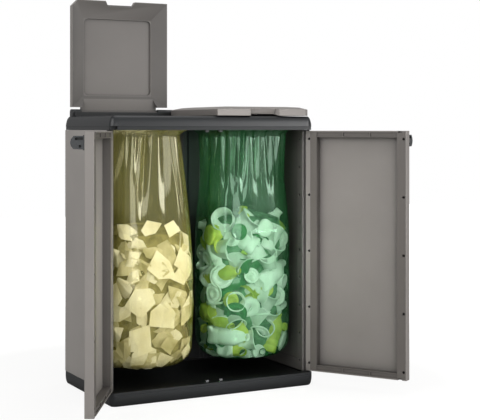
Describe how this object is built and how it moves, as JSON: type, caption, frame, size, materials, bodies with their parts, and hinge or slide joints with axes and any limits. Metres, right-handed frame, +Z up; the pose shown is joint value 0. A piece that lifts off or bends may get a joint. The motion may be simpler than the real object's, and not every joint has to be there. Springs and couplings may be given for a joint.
{
  "type": "double recycling bin",
  "caption": "Free-standing resin cabinet that hangs two waste bags side by side behind a pair of doors, each bag under its own flip-up lid.",
  "frame": {"origin": "on the floor, at the centre of the pad under the middle of the base", "axes": "+Z up, -Y towards the user in front of the doors, +X to the user's right"},
  "size_m": [1.1048, 0.6544, 1.206],
  "materials": {
    "slate_resin": "black-slate moulded resin, fine matt grain",
    "taupe_resin": "taupe moulded resin, fine matt grain",
    "liner_resin": "taupe moulded resin, satin",
    "handle_resin": "grey moulded resin",
    "black_acetal": "black acetal, smooth",
    "catch_resin": "light grey resin",
    "yellow_film": "translucent yellow bag film",
    "green_film": "translucent green bag film",
    "waste_paper": "crumpled paper",
    "waste_bottles": "empty plastic bottles and cups"
  },
  "bodies": {
    "cabinet": {"base_tray": "slate_resin", "side_panel_left": "taupe_resin", "side_panel_right": "taupe_resin", "back_panel": "slate_resin", "top_cap": "slate_resin", "bag_ring_left": "black_acetal", "bag_ring_right": "black_acetal", "bag_left": "yellow_film", "bag_right": "green_film", "paper_heap": "waste_paper", "bottle_heap": "waste_bottles", "door_pin_lower_left": "black_acetal", "door_pin_upper_left": "black_acetal", "lid_pin_outer_left": "black_acetal", "lid_pin_inner_left": "black_acetal", "catch_base_left": "catch_resin", "catch_cap_left": "catch_resin", "door_pin_lower_right": "black_acetal", "door_pin_upper_right": "black_acetal", "lid_pin_outer_right": "black_acetal", "lid_pin_inner_right": "black_acetal", "catch_base_right": "catch_resin", "catch_cap_right": "catch_resin"},
    "door_left": {"door_skin_left": "taupe_resin", "door_liner_left": "liner_resin", "door_handle_left": "handle_resin"},
    "door_right": {"door_skin_right": "taupe_resin", "door_liner_right": "liner_resin", "door_handle_right": "handle_resin"},
    "lid_left": {"lid_left": "taupe_resin"},
    "lid_right": {"lid_right": "taupe_resin"}
  },
  "joints": [
    {"name": "door_left_hinge", "type": "hinge", "parent": "cabinet", "child": "door_left", "pos_m": [-0.3315, -0.173, 0.4], "axis": [0, 0, 1], "range_deg": [-10, 120]},
    {"name": "door_right_hinge", "type": "hinge", "parent": "cabinet", "child": "door_right", "pos_m": [0.3315, -0.173, 0.4], "axis": [0, 0, -1], "range_deg": [-7, 123]},
    {"name": "lid_left_hinge", "type": "hinge", "parent": "cabinet", "child": "lid_left", "pos_m": [-0.1675, 0.1655, 0.8505], "axis": [1, 0, 0], "range_deg": [0, 90]},
    {"name": "lid_right_hinge", "type": "hinge", "parent": "cabinet", "child": "lid_right", "pos_m": [0.1675, 0.1655, 0.8505], "axis": [-1, 0, 0], "range_deg": [0, 90]}
  ]
}
